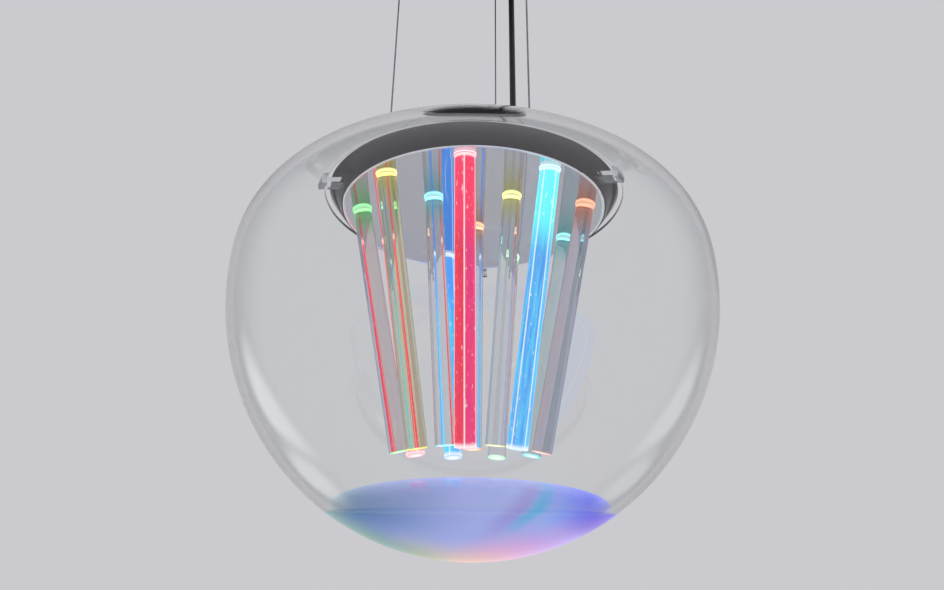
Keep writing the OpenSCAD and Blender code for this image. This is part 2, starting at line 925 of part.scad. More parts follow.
module opal_dome() {
    rim = belly(seam_t, glass_wall) + [-2 * clear, 0];
    outer = arch(rim.x, dome_rise);
    inner = arch(rim.x - dome_wall, dome_rise - dome_wall);
    color("white")
        translate([0, 0, rim.y])
            rotate_extrude($fn = smooth_fn)
                polygon(concat(outer, backwards(inner)));
}

ceiling_plate();
weld_nuts();
lock_nuts();
wire_sockets();
cord_socket();
led_driver();
driver_screws();
terminal_block();
canopy_cover();
canopy_screws();
wire_ball(1);  // wire_ball_1
wire_ball(2);  // wire_ball_2
wire_ball(3);  // wire_ball_3
cord_ball();
suspension_wire(1);  // suspension_wire_1
suspension_wire(2);  // suspension_wire_2
suspension_wire(3);  // suspension_wire_3
power_cord();
anchor_ball(1);  // anchor_ball_1
anchor_balls();
cord_grommet();
wire_anchors();
cord_gland();
head_cover();
cover_screws();
heat_sink();
lead_connector();
heat_spreader();
spreader_screws();
head_skirt();
mirror_dish();
mirror_standoffs();
led_boards();
led_lenses();
rod_collars();
light_rod(1);  // light_rod_1
light_rod(2);  // light_rod_2
light_rod(3);  // light_rod_3
light_rod(4);  // light_rod_4
light_rod(5);  // light_rod_5
light_rod(6);  // light_rod_6
light_rod(7);  // light_rod_7
light_rod(8);  // light_rod_8
light_rod(9);  // light_rod_9
light_rod(10);  // light_rod_10
light_rod(11);  // light_rod_11
light_rod(12);  // light_rod_12
latch_guides();
latch_springs();
latch_bolt(1);  // latch_bolt_1
latch_bolt(2);  // latch_bolt_2
latch_bolt(3);  // latch_bolt_3
latch_pad(1);  // latch_pad_1
latch_pad(2);  // latch_pad_2
latch_pad(3);  // latch_pad_3
glass_globe();
opal_bowl();
opal_dome();
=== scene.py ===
"""Looks of a pendant lamp: a clear glass globe, lit rods under a concave mirror, and an opal lens."""
import json
import math

import bpy
from mathutils import Matrix, Vector


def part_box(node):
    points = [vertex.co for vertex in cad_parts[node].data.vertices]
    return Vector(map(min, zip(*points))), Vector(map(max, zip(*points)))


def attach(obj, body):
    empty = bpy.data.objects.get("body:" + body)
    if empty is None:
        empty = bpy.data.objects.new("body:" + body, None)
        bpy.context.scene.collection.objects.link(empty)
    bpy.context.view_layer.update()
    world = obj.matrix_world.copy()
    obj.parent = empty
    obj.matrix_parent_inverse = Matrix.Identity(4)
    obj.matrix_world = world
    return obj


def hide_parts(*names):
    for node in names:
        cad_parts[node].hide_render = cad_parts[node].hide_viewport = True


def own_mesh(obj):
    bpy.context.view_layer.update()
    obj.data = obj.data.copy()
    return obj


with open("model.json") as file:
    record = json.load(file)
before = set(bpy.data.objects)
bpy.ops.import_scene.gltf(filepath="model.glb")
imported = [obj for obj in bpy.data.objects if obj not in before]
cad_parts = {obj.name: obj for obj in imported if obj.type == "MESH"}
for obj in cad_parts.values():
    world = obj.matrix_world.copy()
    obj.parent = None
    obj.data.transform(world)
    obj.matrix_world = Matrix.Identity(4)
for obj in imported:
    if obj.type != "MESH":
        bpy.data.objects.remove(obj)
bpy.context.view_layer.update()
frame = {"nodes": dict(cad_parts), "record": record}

# Photograph and camera
PHOTO_W = 944
FOCAL_PX = 578.3
SENSOR_W = 36.0
CAMERA_AT = (-0.0005, -0.433, -0.6045)
CAMERA_PITCH = 19.8
CAMERA_ROLL = 0.7
CAMERA_NEAR = 0.01

# Glass, as the solids have it
SHOULDER_H = 0.1115
SHOULDER_FULLNESS = 2.45
BELLY_DEPTH = 0.186
GLASS_WALL = 0.005
MOUTH_R = 0.1225
LIP_REACH = 0.56 * GLASS_WALL
LIP_STEPS = 12
DOME_RISE = 0.0195
DOME_WALL = 0.003
DOME_GAP = 0.0006
SEAM_GAP = 0.0001

# Mirror, rods and collars, as the solids have them. Heights count from the middle of the mirror's sphere.
MIRROR_R = 0.444
MIRROR_BACK = 0.4455
MIRROR_EDGE_R = 0.1056
MIRROR_RIM_W = 0.0006
ROD_R = 0.00725
ROD_FOOT = 0.247
ROD_TOP = 0.4492
ROD_BEVEL = 0.0004
ROD_SIDES = 64
COLLAR_R = 0.0078
COLLAR_FOOT = 0.4428
COLLAR_TOP = 0.4439
COLLAR_BEVEL = 0.0002
COLLAR_BORE = 0.0073
OUTER_RING_R = 0.0923
OUTER_TILT = math.degrees(math.asin(OUTER_RING_R / MIRROR_R))
OUTER_ANGLE = -4.0
OUTER_COUNT = 9
INNER_TILT = 4.75
INNER_ANGLE = -63.0
INNER_COUNT = 3

# Colour of each rod's light, in the order of their numbers
ROD_LIGHTS = (
    "#ff2a5c",
    "#4fdcff",
    "#ff8c32",
    "#4fe0e0",
    "#b4ffc8",
    "#4c9cff",
    "#ff1e46",
    "#50ee6a",
    "#f5e650",
    "#5ae4f2",
    "#f2ee5a",
    "#ffae55",
)
# Rods that glow all along, by number: left and right colour, painted light as refraction splits it, and
# upper colour
ROD_GLOWS = {
    1: ("#e0083c", "#dc1474", "#f6245e"),
    2: ("#3f92e6", "#4eaaf2", "#62f4ff"),
    6: ("#38b4f0", "#50d8ff", "#3c9aff"),
    7: ("#e0103c", "#f02050", "#ff3050"),
}
# Clear rods with their neighbours' light painted on as reflections, by number: left and right colour
ROD_REFLECTED_LIGHTS = {
    3: ("#e6cec6", "#c2d0f0"),
    4: ("#d6e6e8", "#d6e6e8"),
    8: ("#eae2e4", "#e2d0ce"),
    9: ("#eeecc8", "#eeeac4"),
}
CLEAR_TINTS = ("#f0f3f5", "#f0f3f5")

# Light in the rods: where it changes along them, across them and round them
GLOW_TOP_FROM, GLOW_TOP_TO = ROD_TOP - 0.075, ROD_TOP - 0.04
HOT_NECK_FROM, HOT_NECK_TO = COLLAR_FOOT - 0.0035, COLLAR_FOOT - 0.001
HOT_FOOT_FROM, HOT_FOOT_TO = ROD_FOOT + 0.0045, ROD_FOOT + 0.001
NECK_FROM = COLLAR_FOOT - 0.03
FOOT_EDGE = 0.001
HEAD_EDGE = 0.0004
HALVES_EDGE = 0.002
ROD_CORE_R = 0.3 * ROD_R
HIGHLIGHT_LINES = 5.0

# Springs of the latches, along a bolt's travel
LATCH_ANGLES = (56.0, 176.0, 296.0)
LATCH_R = 0.1045
LATCH_LEVEL = 0.44975
SPRING_FROM, SPRING_TO = -0.0174, 0.0029
SPRING_R = 0.0013
SPRING_WIRE_R = 0.0002
SPRING_TURNS = 14
SPRING_STEPS_PER_TURN = 14
SPRING_WIRE_SIDES = 8

# Wires and cord
WIRE_NUMBERS = (1, 2, 3)
ROPE_STRANDS = 6
ROPE_LAY = 0.020
ROPE_GROOVE = 0.20
ROPE_STEP = 0.001
ROPE_SIDES = 18
SHEATH_SIDES = 24
SHEATH_STEP = 0.012

# Stage
FLOOR_Z = -2.0
FLOOR_RINGS = (0.0, 1.0, 4.0)
FLOOR_SIDES = 64
FLOOR_FADE_FROM, FLOOR_FADE_TO = 0.7, 2.2
CARD_SIDES = 48
# Soft boxes: place, point that they face, width, height, watts
SOFT_BOXES = (
    ((-1.5, -1.5, 0.35), (0.0, 0.0, -0.45), 1.2, 1.2, 26.0),
    ((1.7, -0.9, 0.05), (0.0, 0.0, -0.45), 1.0, 1.4, 14.0),
)
# Cards: place, point that they face, half width, half height, strength
GLOW_CARDS = (
    ((-1.45, 0.7, -1.0), (0.0, 0.0, -0.5), 0.4, 1.0, 1.9),
    ((-1.0, 0.85, -1.3), (0.0, 0.0, -0.5), 0.4, 0.5, 1.6),
    ((1.45, 0.7, -1.0), (0.0, 0.0, -0.5), 0.4, 1.0, 1.4),
    ((1.0, 0.85, -1.3), (0.0, 0.0, -0.5), 0.4, 0.5, 1.2),
)

# Linear colours
WHITE = (1.0, 1.0, 1.0, 1.0)
BLACK = (0.0, 0.0, 0.0, 1.0)
BACKDROP = (0.60, 0.59, 0.62, 1.0)
AMBIENT = (0.62, 0.62, 0.64, 1.0)
FLOOR_COLOR = (0.72, 0.71, 0.73, 1.0)
GLASS_FACE = (0.985, 0.992, 0.99, 1.0)
GLASS_SIDE_SHADE = (0.5, 0.53, 0.54, 1.0)
GLASS_DEPTH = (0.70, 0.77, 0.76, 1.0)
GLASS_DENSITY = 14.0
ROD_SIDE_SHADE = (0.12, 0.13, 0.16, 1.0)
MIRROR_FACE = (0.62, 0.62, 0.66, 1.0)
MIRROR_RIM = (0.96, 0.96, 1.0, 1.0)
MOULDING_COLOR = (0.93, 0.95, 0.97, 1.0)

# Finishes by slot: hex colour, metallic, roughness, grain per metre, relief in metres and spread of the
# colour, then stretch and gloss where these are not plain
SURFACES = {
    "zinc_steel": ("#b9bcc0", 1.0, 0.38, 420, 0.00004, 0.12),
    "steel": ("#a9acb1", 1.0, 0.28, 900, 0.00003, 0.08),
    "satin_nickel": ("#c5c1b9", 1.0, 0.24, 1400, 0.00002, 0.05, (1, 1, 12)),
    "black_plastic": ("#17171a", 0.0, 0.45, 1500, 0.00003, 0.15),
    "white_plastic": ("#e4e3de", 0.0, 0.42, 1200, 0.00003, 0.03),
    "ivory_plastic": ("#dcd6c2", 0.0, 0.45, 1200, 0.00003, 0.04),
    "canopy_paint": ("#26262a", 0.0, 0.34, 1800, 0.00003, 0.10),
    "black_rubber": ("#101011", 0.0, 0.70, 1600, 0.00005, 0.20),
    "wire_rope": ("#8b8e93", 1.0, 0.32, 1500, 0.00002, 0.15),
    "cord_sheath": ("#0c0c0e", 0.0, 0.42, 1800, 0.00003, 0.20),
    "head_paint": ("#19191c", 0.0, 0.36, 1800, 0.00003, 0.12),
    "black_steel": ("#1b1b1e", 0.6, 0.38, 1500, 0.00003, 0.12),
    "aluminium": ("#d0d2d4", 1.0, 0.30, 700, 0.00003, 0.06, (1, 1, 6)),
    "skirt_gloss": ("#08080c", 0.0, 0.14, 50, 0.000002, 0.15, (1, 1, 1), 0.25),
    "board": ("#1f5a3a", 0.0, 0.40, 900, 0.00004, 0.15),
}
# Roughness of the clear mouldings, by slot
CLEAR_MOULDINGS = {"clear_lens": 0.16, "clear_bolt": 0.05, "clear_pad": 0.25}
BROAD_GRAIN = 12

# Pools of the rods' coloured light, painted into the opal glass so that they run into each other over one
# ground.
# They lie in its X and Z, in metres: hex colour, most share, middle across, middle height, half width,
# half height, lean.
OPAL_GROUND = "#98a2dc"
OPAL_LIGHT_POOLS = (
    ("#446f9e", 1.00, -0.072, -0.6070, 0.080, 0.0370, 0.0),
    ("#5f8a84", 0.90, -0.092, -0.6065, 0.030, 0.0200, 0.0),
    ("#7882bc", 0.65, -0.034, -0.5915, 0.038, 0.0160, 0.0),
    ("#7884d0", 0.80, 0.000, -0.5870, 0.120, 0.0145, 0.0),
    ("#8a82ca", 0.75, 0.029, -0.6045, 0.0137, 0.0256, 0.95),
    ("#86a8e4", 0.80, 0.050, -0.6073, 0.0152, 0.0225, 0.95),
    ("#46a6d2", 1.00, 0.0387, -0.6038, 0.009, 0.0228, 0.95),
    ("#2a44ee", 1.00, 0.081, -0.6030, 0.050, 0.0300, 0.0),
    ("#6c48c4", 1.00, 0.0856, -0.6189, 0.041, 0.0180, 0.0),
    ("#b290da", 0.95, 0.052, -0.6310, 0.044, 0.0217, 0.0),
    ("#d29ac8", 0.95, 0.0245, -0.6360, 0.0415, 0.0198, 0.0),
    ("#d8ac90", 0.95, -0.002, -0.6430, 0.046, 0.0205, 0.0),
    ("#a8aa78", 0.90, -0.034, -0.6390, 0.036, 0.0210, 0.0),
    ("#5a8a78", 0.95, -0.066, -0.6260, 0.038, 0.0270, -2.0),
)
OPAL_SWIRL = 0.0115
# Strength of the painted glow and gloss of the opal pieces, so that they look alike through the glass and
# bare: the cap, which the glass shades, and the shell's fused end get more painted light than the bowl
OPAL_BOWL = (0.92, 0.12)
OPAL_CAP = (1.0, 0.05)
OPAL_EDGE = (1.02, 0.12)

# Fineness of the meshes: sides of large turned pieces, steps of an arc, angles above which edges are sharp
LATHE_SIDES = 192
ARC_STEPS = 56
EDGE_ANGLE = 35.0
TUBE_EDGE_ANGLE = 60.0
ON_AXIS = 1e-7

globe_low, globe_high = map(Vector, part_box("glass_globe"))
bowl_low, bowl_high = map(Vector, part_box("opal_bowl"))
GLOBE_R = (globe_high.x - globe_low.x) / 2
SEAM_T = math.acos((bowl_high.x - bowl_low.x) / 2 / GLOBE_R)
EQUATOR_Z = bowl_low.z + BELLY_DEPTH
CENTRE_Z = Vector(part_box("mirror_dish")[1]).z - MIRROR_BACK


# Meshes


def new_object(name, points, faces, material, edge_angle=EDGE_ANGLE):
    """Mesh object with smooth faces, and sharp edges above an angle."""
    mesh = bpy.data.meshes.new(name)
    mesh.from_pydata(points, [], faces)
    mesh.validate()
    mesh.shade_smooth()
    mesh.set_sharp_from_angle(angle=math.radians(edge_angle))
    mesh.materials.append(material)
    made = bpy.data.objects.new(name, mesh)
    bpy.context.scene.collection.objects.link(made)
    return made


def lathe(name, outline, material, sides=LATHE_SIDES, closed=False):
    """Turns (radius, height) points about Z. A point on the axis becomes one vertex."""
    points, rows = [], []
    for radius, height in outline:
        if radius < ON_AXIS:
            rows.append([len(points)] * sides)
            points.append((0.0, 0.0, height))
            continue
        rows.append(list(range(len(points), len(points) + sides)))
        for k in range(sides):
            a = 2 * math.pi * k / sides
            points.append((radius * math.cos(a), radius * math.sin(a), height))
    faces = []
    pairs = list(zip(rows, rows[1:])) + ([(rows[-1], rows[0])] if closed else [])
    for low, high in pairs:
        for k in range(sides):
            n = (k + 1) % sides
            corners = [low[k], low[n], high[n], high[k]]
            faces.append(list(dict.fromkeys(corners)))
    return new_object(name, points, faces, material)


def skin(name, rings, material):
    """Tube over rings of points, closed at both ends."""
    sides = len(rings[0])
    points = [point for ring in rings for point in ring]
    faces = [tuple(reversed(range(sides))), tuple(range(len(points) - sides, len(points)))]
    for low in range(0, len(points) - sides, sides):
        high = low + sides
        for k in range(sides):
            n = (k + 1) % sides
            faces.append((low + k, low + n, high + n, high + k))
    return new_object(name, points, faces, material, TUBE_EDGE_ANGLE)


def straight_tube(name, low, high, radius_at, sides, step, material):
    """Upright tube whose radius may change with the angle and the height."""
    length = high.z - low.z
    count = max(2, round(length / step))
    rings = []
    for i in range(count + 1):
        rise = length * i / count
        ring = []
        for k in range(sides):
            a = 2 * math.pi * k / sides
            r = radius_at(a, rise)
            ring.append((low.x + r * math.cos(a), low.y + r * math.sin(a), low.z + rise))
        rings.append(ring)
    return skin(name, rings, material)


def shoulder_z(radius, inset):
    """Height of the glass above its widest place, at a radius."""
    share = max(0.0, 1 - (radius / (GLOBE_R - inset)) ** SHOULDER_FULLNESS)
    return EQUATOR_Z + (SHOULDER_H - inset) * share ** (1 / SHOULDER_FULLNESS)


def shoulder_line(inset):
    """Outline of the glass from the lip to its widest place."""
    start = MOUTH_R + LIP_REACH
    line = []
    for i in range(ARC_STEPS + 1):
        radius = start + (GLOBE_R - inset - start) * math.sin(math.pi / 2 * i / ARC_STEPS)
        line.append((radius, shoulder_z(radius, inset)))
    return line


def belly(angle, inset):
    """Point of the outline below the widest place."""
    radius = (GLOBE_R - inset) * math.cos(angle)
    return radius, EQUATOR_Z - (BELLY_DEPTH - inset) * math.sin(angle)


def belly_line(start, end, inset):
    """Outline below the widest place, between two angles."""
    return [belly(start + (end - start) * i / ARC_STEPS, inset) for i in range(ARC_STEPS + 1)]


def globe_outline():
    """Clear glass round its lip, down the inside to the seam and back up the outside."""
    start = MOUTH_R + LIP_REACH
    high, low = shoulder_z(start, 0), shoulder_z(start, GLASS_WALL)
    middle, half = (high + low) / 2, (high - low) / 2
    lip = []
    for i in range(1, LIP_STEPS):
        a = math.pi * i / LIP_STEPS
        lip.append((start - LIP_REACH * math.sin(a), middle - half * math.cos(a)))
    end = SEAM_T - SEAM_GAP / GLOBE_R
    outer = shoulder_line(0) + belly_line(0, end, 0)[1:]
    inner = shoulder_line(GLASS_WALL) + belly_line(0, end, GLASS_WALL)[1:]
    return (outer + inner[::-1] + lip)[::-1]


def bowl_outline():
    """Opal bowl down its inside to the axis and back up its outside."""
    outer = belly_line(SEAM_T, math.pi / 2, 0)[:-1]
    inner = belly_line(SEAM_T, math.pi / 2, GLASS_WALL)[:-1]
    return [*inner, (0.0, bowl_low.z + GLASS_WALL), (0.0, bowl_low.z), *outer[::-1]]


def arch(half_width, rise, base_z):
    """Quarter of an ellipse, from its foot to the axis."""
    steps = [math.pi / 2 * i / ARC_STEPS for i in range(ARC_STEPS)]
    line = [(half_width * math.cos(a), base_z + rise * math.sin(a)) for a in steps]
    return [*line, (0.0, base_z + rise)]


def dome_outline():
    """Opal dome over the bowl, from the rim to the axis and back under."""
    rim_r, rim_z = belly(SEAM_T, GLASS_WALL)
    rim_r -= DOME_GAP
    outer = arch(rim_r, DOME_RISE, rim_z)
    return outer + arch(rim_r - DOME_WALL, DOME_RISE - DOME_WALL, rim_z)[::-1]


def polar(tilt, turn):
    """Frame whose Z runs from the mirror's centre through one rod."""
    turned = Matrix.Rotation(math.radians(turn), 4, "Z") @ Matrix.Rotation(math.radians(tilt), 4, "X")
    return Matrix.Translation((0, 0, CENTRE_Z)) @ turned


def rod_frames():
    """Frames of the outer rods, then of the inner ones."""
    for i in range(OUTER_COUNT):
        yield polar(OUTER_TILT, OUTER_ANGLE + i * 360 / OUTER_COUNT)
    for i in range(INNER_COUNT):
        yield polar(INNER_TILT, INNER_ANGLE + i * 360 / INNER_COUNT)


# Materials


def tone(code):
    """Linear colour of a hex code."""
    parts = [int(code[i : i + 2], 16) / 255 for i in (1, 3, 5)]
    return tuple(p / 12.92 if p <= 0.04045 else ((p + 0.055) / 1.055) ** 2.4 for p in parts) + (1.0,)


def scaled(color, share):
    """Darker or lighter colour."""
    return tuple(min(1.0, c * share) for c in color[:3]) + (1.0,)


class Graph:
    """Node tree of one material, with short calls for the nodes that materials share."""

    def __init__(self, name):
        self.material = bpy.data.materials.new(name)
        self.material.use_nodes = True
        self.tree = self.material.node_tree
        self.shader = self.tree.nodes["Principled BSDF"]

    def feed(self, socket, value):
        """Links an output to a socket, or sets the socket to a plain value."""
        if isinstance(value, bpy.types.NodeSocket):
            self.tree.links.new(value, socket)
        else:
            socket.default_value = value

    def set(self, values):
        """Feeds the main shader."""
        for name, value in values.items():
            self.feed(self.shader.inputs[name], value)

    def output(self, name, value):
        """Feeds the material's output."""
        self.feed(self.tree.nodes["Material Output"].inputs[name], value)

    def node(self, kind, inputs, **settings):
        made = self.tree.nodes.new("ShaderNode" + kind)
        for name, value in settings.items():
            setattr(made, name, value)
        for name, value in inputs.items():
            self.feed(made.inputs[name], value)
        return made

    def place(self, scale=(1, 1, 1)):
        """Point in the piece's own axes."""
        coords = self.node("TexCoord", {}).outputs["Object"]
        return self.node("Mapping", {"Vector": coords, "Scale": scale}).outputs["Vector"]

    def axes(self):
        return self.node("SeparateXYZ", {"Vector": self.place()}).outputs

    def from_origin(self):
        """Distance from the piece's own origin."""
        return self.node("VectorMath", {0: self.place()}, operation="LENGTH").outputs["Value"]

    def edge_on(self):
        """Share by which glass is seen along its surface."""
        return self.node("LayerWeight", {"Blend": 0.5}).outputs["Facing"]

    def noise(self, scale, stretch=(1, 1, 1), detail=3.0):
        inputs = {"Vector": self.place(stretch), "Scale": scale, "Detail": detail}
        return self.node("TexNoise", inputs).outputs["Fac"]

    def math(self, operation, first, second=0.0):
        return self.node("Math", {0: first, 1: second}, operation=operation).outputs[0]

    def length(self, first, second):
        """Length of a vector with two parts."""
        squares = [self.math("POWER", part, 2.0) for part in (first, second)]
        return self.math("SQRT", self.math("ADD", *squares))

    def rise(self, value, low, high, top=1.0, bottom=0.0):
        """Smooth step from bottom to top, while a value goes from low to high."""
        inputs = {"Value": value, "From Min": low, "From Max": high, "To Min": bottom, "To Max": top}
        return self.node("MapRange", inputs, interpolation_type="SMOOTHSTEP").outputs["Result"]

    def mix(self, share, first, second):
        """Colour between two, by the share of the second."""
        inputs = {0: share, 6: first, 7: second}
        return self.node("Mix", inputs, data_type="RGBA", clamp_factor=True).outputs[2]

    def mix_shaders(self, share, first, second):
        """Puts a mix of two shaders on the surface."""
        mixed = self.node("MixShader", {0: share, 1: first.outputs[0], 2: second.outputs[0]})
        self.output("Surface", mixed.outputs[0])

    def bump(self, height, strength, distance):
        inputs = {"Height": height, "Strength": strength, "Distance": distance}
        self.feed(self.shader.inputs["Normal"], self.node("Bump", inputs).outputs["Normal"])


def surface(name, code, metallic, rough, grain, depth, spread, stretch=(1, 1, 1), gloss=0.5):
    """Opaque finish with grain in its colour, gloss and relief."""
    g = Graph(name)
    color = tone(code)
    fine = g.noise(grain, stretch)
    broad = g.rise(g.noise(grain / BROAD_GRAIN, stretch, detail=2.0), 0.3, 0.7)
    g.set(
        {
            "Base Color": g.mix(broad, scaled(color, 1 - spread), scaled(color, 1 + spread)),
            "Roughness": g.rise(fine, 0.25, 0.75, top=min(1.0, rough * 1.25), bottom=rough * 0.8),
            "Metallic": metallic,
            "Specular IOR Level": gloss,
        }
    )
    g.bump(fine, strength=0.4, distance=depth)
    return g.material


def clear_glass():
    """Thick blown glass: slow waves in its surface, and painted grey-green shade where the eye looks along
    the wall.
    """
    g = Graph("clear_glass")
    g.set(
        {
            # Painted shade: grey-green where the eye looks along the wall
            "Base Color": g.mix(g.rise(g.edge_on(), 0.5, 0.92, top=0.8), GLASS_FACE, GLASS_SIDE_SHADE),
            "Roughness": 0.0,
            "IOR": 1.5,
            "Transmission Weight": 1.0,
        }
    )
    g.bump(g.noise(9.0, (1, 1, 1.6), detail=1.0), strength=0.25, distance=0.0008)
    depth = g.node("VolumeAbsorption", {"Color": GLASS_DEPTH, "Density": GLASS_DENSITY})
    g.output("Volume", depth.outputs["Volume"])
    return g.material


def tint_and_light_halves(g, axes, left, right):
    """Colour of a rod's left half that runs into that of its right half: painted light as refraction
    splits it, or a plain tint where both are alike.
    """
    return g.mix(g.rise(axes["X"], -HALVES_EDGE, HALVES_EDGE), left, right)


def rod_ends(g, axes):
    """Shares of a rod that are its foot, and its head from the collar up."""
    foot = g.rise(axes["Z"], ROD_FOOT + FOOT_EDGE, ROD_FOOT)
    head = g.rise(axes["Z"], COLLAR_FOOT - HEAD_EDGE, COLLAR_FOOT + HEAD_EDGE)
    return foot, head


def rod_light(g, axes, left, right, top):
    """Light along a whole rod: two halves of painted refraction light, a brighter top, painted highlight
    lines, small bubbles and hot ends.
    """
    body = tint_and_light_halves(g, axes, left, right)
    body = g.mix(g.rise(axes["Z"], GLOW_TOP_FROM, GLOW_TOP_TO), body, top)
    streak = g.rise(g.noise(70.0, (6, 6, 0.4)), 0.35, 0.65, top=0.45)
    body = g.mix(streak, body, top)
    # Painted highlights: white lines round the rod
    turn = g.math("ARCTAN2", axes["Y"], axes["X"])
    highlight_wave = g.math("SINE", g.math("MULTIPLY", turn, HIGHLIGHT_LINES))
    body = g.mix(g.rise(highlight_wave, -0.9, -0.995, top=0.75), body, WHITE)
    bubble = g.rise(g.noise(650.0, (1, 1, 0.35), detail=2.0), 0.62, 0.74, top=0.5)
    hot_neck = g.rise(axes["Z"], HOT_NECK_FROM, HOT_NECK_TO, top=0.85)
    hot_foot = g.rise(axes["Z"], HOT_FOOT_FROM, HOT_FOOT_TO, top=0.8)
    hot = g.math("MAXIMUM", hot_neck, hot_foot)
    return g.mix(g.math("MAXIMUM", bubble, hot), body, WHITE)


def glowing_rod(name, tint, colors):
    """Acrylic rod that glows all along, with ends that are white in their middle."""
    g = Graph(name)
    axes = g.axes()
    light = rod_light(g, axes, *map(tone, colors))
    core = g.rise(g.length(axes["X"], axes["Y"]), ROD_R, ROD_CORE_R, top=0.95, bottom=0.45)
    ends = g.math("MAXIMUM", *rod_ends(g, axes))
    g.set(
        {
            "Base Color": g.mix(0.85, light, BLACK),
            "Roughness": 0.02,
            "IOR": 1.49,
            "Specular IOR Level": 0.3,
            "Transmission Weight": 0.3,
            "Emission Color": g.mix(ends, light, g.mix(core, tint, WHITE)),
            "Emission Strength": 0.95,
        }
    )
    return g.material


def clear_rod(name, tint, tints_and_reflections):
    """Clear acrylic rod, with its own light painted into its colour below the collar, painted shade along
    its sides, and bright at both ends.
    """
    g = Graph(name)
    axes = g.axes()
    neck = g.rise(axes["Z"], NECK_FROM, COLLAR_FOOT)
    foot, head = rod_ends(g, axes)
    core = g.math("MAXIMUM", head, g.rise(g.length(axes["X"], axes["Y"]), ROD_R, ROD_CORE_R))
    bright = g.mix(g.math("MULTIPLY", core, 0.75), tint, WHITE)
    # Painted reflections of the neighbours' light, left and right, or a plain clear tint
    middle = tint_and_light_halves(g, axes, *map(tone, tints_and_reflections))
    # Painted shade along the rod's sides, where the eye looks along it
    clear = g.mix(g.rise(g.edge_on(), 0.35, 0.95, top=0.9), middle, ROD_SIDE_SHADE)
    light = g.mix(g.math("MULTIPLY", neck, 0.09), BLACK, tint)
    g.set(
        {
            # Painted light: the rod's own light coloured into it below the collar
            "Base Color": g.mix(g.math("MULTIPLY", neck, 0.75), clear, scaled(tint, 0.5)),
            "Roughness": 0.02,
            "IOR": 1.49,
            "Specular IOR Level": 0.5,
            "Transmission Weight": 1.0,
            "Emission Color": g.mix(g.math("MAXIMUM", foot, head), light, bright),
            "Emission Strength": 1.0,
        }
    )
    return g.material


def lit_collar(name, tint, glowing):
    """Milky collar that glows, nearly white on a rod that glows all along."""
    g = Graph(name)
    hot = g.rise(g.axes()["Z"], COLLAR_FOOT, COLLAR_TOP)
    spots = g.rise(g.noise(900.0), 0.3, 0.7, top=0.3)
    pale = g.mix(0.8 if glowing else 0.5, tint, WHITE)
    g.set(
        {
            "Base Color": tint,
            "Roughness": 0.3,
            "Emission Color": g.mix(hot, g.mix(spots, tint, pale), pale),
            "Emission Strength": 1.7 if glowing else 1.3,
        }
    )
    return g.material


def opal_glass(name, strength, gloss):
    """Milk glass with painted glow: pools of the rods' coloured light, painted so that they run into each
    other.
    """
    g = Graph(name)
    axes = g.axes()
    slow = g.math("SUBTRACT", g.noise(9.0, detail=1.0), 0.5)
    side = g.math("ADD", axes["X"], g.math("MULTIPLY", slow, OPAL_SWIRL))
    color = tone(OPAL_GROUND)
    # Each pool paints the rods' coloured light over the ground, into base colour and emission
    for code, most, at_side, at_level, wide, high, lean in OPAL_LIGHT_POOLS:
        up = g.math("SUBTRACT", axes["Z"], at_level)
        across = g.math("SUBTRACT", g.math("SUBTRACT", side, at_side), g.math("MULTIPLY", up, lean))
        away = g.length(g.math("DIVIDE", across, wide), g.math("DIVIDE", up, high))
        color = g.mix(g.rise(away, 1.0, 0.0, top=most), color, tone(code))
    g.set(
        {
            "Base Color": g.mix(0.85, color, BLACK),
            "Roughness": 0.2,
            "Specular IOR Level": gloss,
            "Emission Color": color,
            "Emission Strength": strength,
        }
    )
    g.bump(g.noise(14.0, detail=1.0), strength=0.15, distance=0.0006)
    return g.material


def polished_mirror():
    """Mirror with a faint haze and a bright rolled rim."""
    g = Graph("mirror")
    axes = g.axes()
    away = g.length(axes["X"], axes["Y"])
    rim = g.rise(away, MIRROR_EDGE_R - MIRROR_RIM_W, MIRROR_EDGE_R)
    g.set(
        {
            "Base Color": g.mix(rim, MIRROR_FACE, MIRROR_RIM),
            "Metallic": 1.0,
            "Roughness": g.rise(g.noise(60.0), 0.3, 0.7, top=0.05, bottom=0.02),
        }
    )
    return g.material


def clear_moulding(name, rough):
    """Clear plastic or silicone, with the uneven gloss of its mould."""
    g = Graph(name)
    g.set(
        {
            "Base Color": MOULDING_COLOR,
            "Roughness": g.rise(g.noise(500.0), 0.3, 0.7, top=rough, bottom=0.4 * rough),
            "Transmission Weight": 0.95,
            "IOR": 1.45,
        }
    )
    return g.material


def pale_floor():
    """Floor that keeps the object's shadow and runs out into the backdrop's colour."""
    g = Graph("pale_floor")
    g.set({"Base Color": FLOOR_COLOR, "Roughness": 0.8})
    share = g.rise(g.from_origin(), FLOOR_FADE_FROM, FLOOR_FADE_TO)
    g.mix_shaders(share, g.shader, g.node("Emission", {"Color": BACKDROP}))
    return g.material


def card_glow(strength):
    """Light that fades out towards the card's edge."""
    g = Graph("card_glow")
    away = g.from_origin()
    g.set(
        {
            "Base Color": BLACK,
            "Specular IOR Level": 0.0,
            "Emission Color": WHITE,
            "Emission Strength": g.rise(away, 1.0, 0.2, top=strength),
        }
    )
    g.mix_shaders(g.rise(away, 0.98, 0.3), g.node("BsdfTransparent", {}), g.shader)
    return g.material


# Camera and stage


def make_camera():
    data = bpy.data.cameras.new("camera")
    data.sensor_width = SENSOR_W
    data.lens = FOCAL_PX / PHOTO_W * SENSOR_W
    data.clip_start = CAMERA_NEAR
    camera = bpy.data.objects.new("camera", data)
    bpy.context.scene.collection.objects.link(camera)
    look = Matrix.Rotation(math.radians(90 + CAMERA_PITCH), 4, "X")
    roll = Matrix.Rotation(math.radians(CAMERA_ROLL), 4, "Z")
    camera.matrix_world = Matrix.Translation(CAMERA_AT) @ look @ roll
    bpy.context.scene.camera = camera


